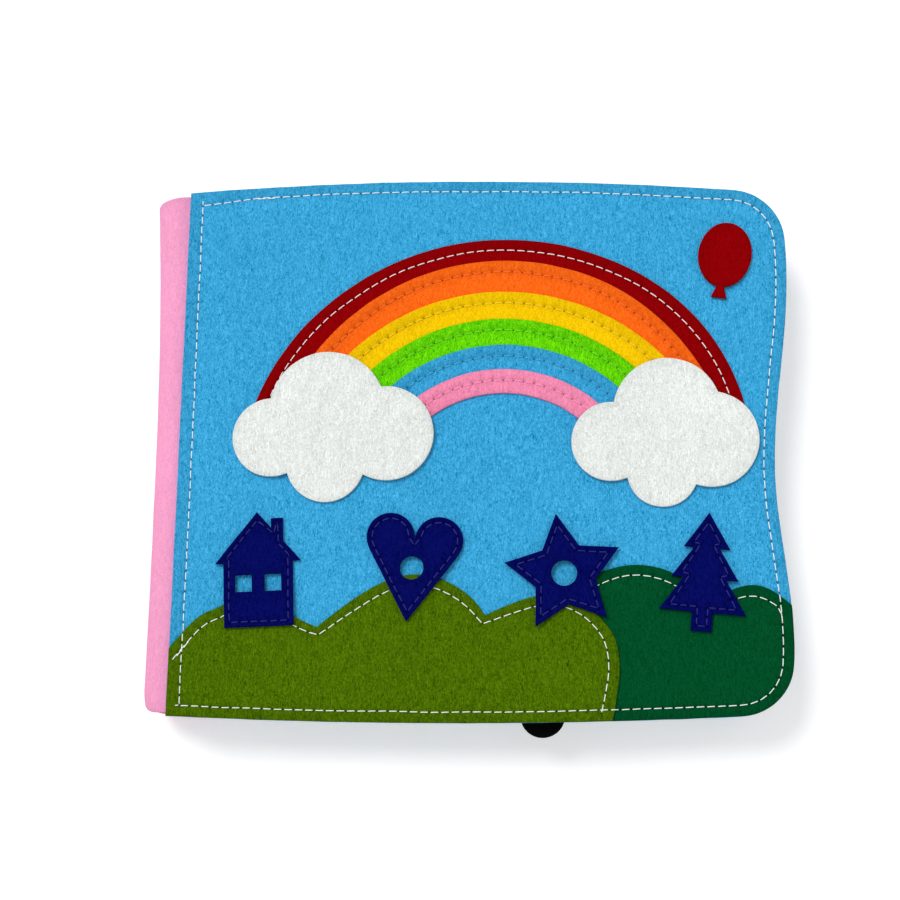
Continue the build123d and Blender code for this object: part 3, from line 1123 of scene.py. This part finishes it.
class FELTBOOK_OT_leaves(bpy.types.Operator):
    """Cut and sew the leaves, bind them, and cut the disc on one"""

    bl_idname = "felt_book.leaves"
    bl_label = "Leaves"

    def execute(self, context):
        low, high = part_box("pages")
        edge = spine_edge()
        sheet = thickness_of("back_cover_face")
        leaf = 2 * sheet
        centre = (low.z + high.z) / 2
        bound = edge - low.x
        hollow = bound - sheet
        fan_start, fan_end, groove = sizes().fan_start, sizes().fan_end, sizes().groove
        count = sizes().leaves
        outer = np.linspace(low.z, high.z - leaf, count)
        inner = np.linspace(centre - bound, centre + bound - leaf, count)
        for number, (at_edge, at_binding) in enumerate(zip(outer, inner), 1):
            reach = abs(at_binding + leaf / 2 - centre) + leaf / 2
            left = edge - max(0, hollow ** 2 - reach ** 2) ** 0.5

            def under(points, a=at_binding, b=at_edge):
                share = ramp(points[:, 0] - edge, fan_start, fan_end - fan_start)
                return a + (b - a) * share * share * (3 - 2 * share)

            loop = leaf_loop(left, high.x, low.y, high.y, sizes().leaf_corner)
            seed = 79.0 + number
            seam = Seam(inset(loop, sizes().leaf_seam_in), closed=True, seed=seed)
            piece = cut_felt(
                f"leaf_{number}", "pages", [loop], under, leaf, 2 * sizes().cover_mesh, felt("white"),
                "book_block", [seam], None, seed, DOUBLE_EDGE, seen_under=True,
            )
            for way, side, face in ((1, "upper", leaf - groove), (-1, "lower", groove)):
                stitches(f"seam_leaf_{number}_{side}", [seam], lambda points, h=face: under(points) + h,
                         white_thread(), "book_block", plies=4, up=way)

        middle = bound - sheet / 2
        half = middle * pi / 2
        tape = np.array([(-half, low.y), (half, low.y), (half, high.y), (-half, high.y)])
        piece = cut_felt(
            "binding_tape", "pages", [tape], flat_at(0.0), sheet, 1.5 * MM, felt("white"), "book_block",
            seed=90.0, place=bend_round(hollow, middle, centre),
        )

        piece = cut_felt(
            "felt_leaf_disc", "leaf_disc", outlines("leaf_disc"), flat_at(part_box("leaf_disc")[0].z),
            sheet, 1.2 * MM, felt("black"), "book_block", seed=91.0,
        )
        declare("leaf_disc")
        return {"FINISHED"}


class FELTBOOK_OT_spine_strip(bpy.types.Operator):
    """Cut the spine strip and bend it round the leaves, one half to each cover"""

    bl_idname = "felt_book.spine_strip"
    bl_label = "Spine strip"

    def execute(self, context):
        low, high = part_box("spine_strip")
        edge = spine_edge()
        sheet = thickness_of("back_cover_face")
        radius = (high.z - low.z) / 2
        middle = radius - sheet / 2
        centre = (low.z + high.z) / 2
        quarter = middle * pi / 2
        across = quarter + high.x - edge + (edge - low.x - radius)
        corner = sizes().spine_corner
        raised = 1.0 * MM           # how far its head stands up beside the front cover
        mesh = 1.1 * MM
        u = np.concatenate([np.linspace(0, quarter, 24), [across]])
        turned = np.cos(np.minimum(u, quarter) / middle)
        drop = corner * turned ** 8
        foot = np.column_stack([u, drop - high.y])
        head = np.column_stack([u, high.y - 0.15 * drop + (raised - sizes().head_slant * turned)])
        front = np.concatenate([foot, head[::-1]])
        back = front[::-1] * (-1, 1)
        rows = np.arange(-high.y + 2 * corner, high.y - 2 * corner, mesh)
        for side, loop, way in (("front", front, 1), ("back", back, -1)):
            beside = np.concatenate([
                np.column_stack([np.full(len(rows), way * at * MM), rows]) for at in (0.35, 0.8)
            ])
            piece = cut_felt(
                f"spine_strip_{side}", "spine_strip", [loop], flat_at(0.0), sheet, mesh, felt("pink"), None,
                seed=95.0, seen_under=True, joint=0.0, extra=beside,
                place=bend_round(radius - sheet, middle, centre, strip_slack),
            )
            if side == "front":
                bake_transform(piece)
            else:
                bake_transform(piece)
        return {"FINISHED"}


class FELTBOOK_OT_stage(bpy.types.Operator):
    """Set the floor, the lights, the background and the camera"""

    bl_idname = "felt_book.stage"
    bl_label = "Stage"

    def execute(self, context):
        scene = context.scene
        half = 3.0                  # half the floor's width, in metres
        corners = [(-half, -half, 0), (half, -half, 0), (half, half, 0), (-half, half, 0)]
        mesh = bpy.data.meshes.new("floor")
        mesh.from_pydata(corners, [], [(0, 1, 2, 3)])
        mesh.materials.append(white_floor())
        floor = placed("floor", mesh)

        lamp = bpy.data.lights.new("window", "SUN")
        lamp.energy = 1.6
        lamp.angle = radians(24)
        window = placed("window", lamp)
        window.rotation_euler = Vector((-0.42, 0.50, 1.0)).to_track_quat("Z", "Y").to_euler()

        world = bpy.data.worlds.new("studio")
        world.use_nodes = True
        tree = world.node_tree
        tree.nodes.clear()
        background = add_node(tree, "ShaderNodeBackground", inputs={
            "Color": (1, 1, 1, 1),
            "Strength": maths(tree, "MULTIPLY_ADD", seen_directly(tree), 0.36, 0.64),
        })
        add_node(tree, "ShaderNodeOutputWorld", inputs={"Surface": background.outputs[0]})
        scene.world = world
        scene.view_settings.view_transform = "Standard"

        data = bpy.data.cameras.new("camera")
        data.lens = 71.19
        data.sensor_width = 36
        data.clip_start, data.clip_end = 0.01, 20
        camera = placed("camera", data)
        camera.location = (0.035545, -0.125554, 0.716989)
        camera.rotation_euler = (0.179679, 0.0669463, 0.0113954)
        scene.camera = camera
        return {"FINISHED"}


def seen_directly(tree):
    """1 for camera, mirror and glass rays, 0 for light that falls on the object."""
    paths = add_node(tree, "ShaderNodeLightPath").outputs
    mirrored = maths(tree, "MAXIMUM", paths["Is Glossy Ray"], paths["Is Transmission Ray"])
    return maths(tree, "MAXIMUM", paths["Is Camera Ray"], mirrored)


def white_floor():
    """White card: it keeps the book's shadow, and elsewhere reads as pure white."""
    material, tree = new_material("White card")
    card = add_node(tree, "ShaderNodeBsdfDiffuse", inputs={"Color": (0.9, 0.9, 0.91, 1)})
    glow = add_node(tree, "ShaderNodeEmission", inputs={
        "Color": (1, 1, 1, 1),
        "Strength": maths(tree, "MULTIPLY", seen_directly(tree), 0.28),
    })
    both = add_node(tree, "ShaderNodeAddShader", inputs={0: card.outputs[0], 1: glow.outputs[0]})
    add_node(tree, "ShaderNodeOutputMaterial", inputs={"Surface": both.outputs[0]})
    return material


class FELTBOOK_PT_panel(bpy.types.Panel):
    """The book's pieces, sizes and colours."""

    bl_idname = "FELTBOOK_PT_panel"
    bl_label = "Felt busy book"
    bl_space_type = "VIEW_3D"
    bl_region_type = "UI"
    bl_category = "Felt book"

    def draw(self, context):
        for group in (context.scene.felt_book_sizes, context.scene.felt_book_colours):
            for name in type(group).__annotations__:
                self.layout.prop(group, name)
        for operator in OPERATORS:
            self.layout.operator(operator.bl_idname)


OPERATORS = (
    FELTBOOK_OT_covers,
    FELTBOOK_OT_rainbow,
    FELTBOOK_OT_clouds,
    FELTBOOK_OT_hills,
    FELTBOOK_OT_figures,
    FELTBOOK_OT_leaves,
    FELTBOOK_OT_spine_strip,
    FELTBOOK_OT_stage,
)
CLASSES = (FeltBookSizes, FeltBookColours, *OPERATORS, FELTBOOK_PT_panel)


def register():
    """Adds the book's sizes, colours, operators and panel."""
    for cls in CLASSES:
        bpy.utils.register_class(cls)
    bpy.types.Scene.felt_book_sizes = bpy.props.PointerProperty(type=FeltBookSizes)
    bpy.types.Scene.felt_book_colours = bpy.props.PointerProperty(type=FeltBookColours)


def unregister():
    """Takes them away again."""
    del bpy.types.Scene.felt_book_colours
    del bpy.types.Scene.felt_book_sizes
    for cls in reversed(CLASSES):
        bpy.utils.unregister_class(cls)


def main():
    """Builds the book and its stage."""
    register()
    for build in (
        bpy.ops.felt_book.covers,
        bpy.ops.felt_book.rainbow,
        bpy.ops.felt_book.clouds,
        bpy.ops.felt_book.hills,
        bpy.ops.felt_book.figures,
        bpy.ops.felt_book.leaves,
        bpy.ops.felt_book.spine_strip,
        bpy.ops.felt_book.stage,
    ):
        build()
    bpy.context.view_layer.update()


if __name__ == "__main__":
    main()
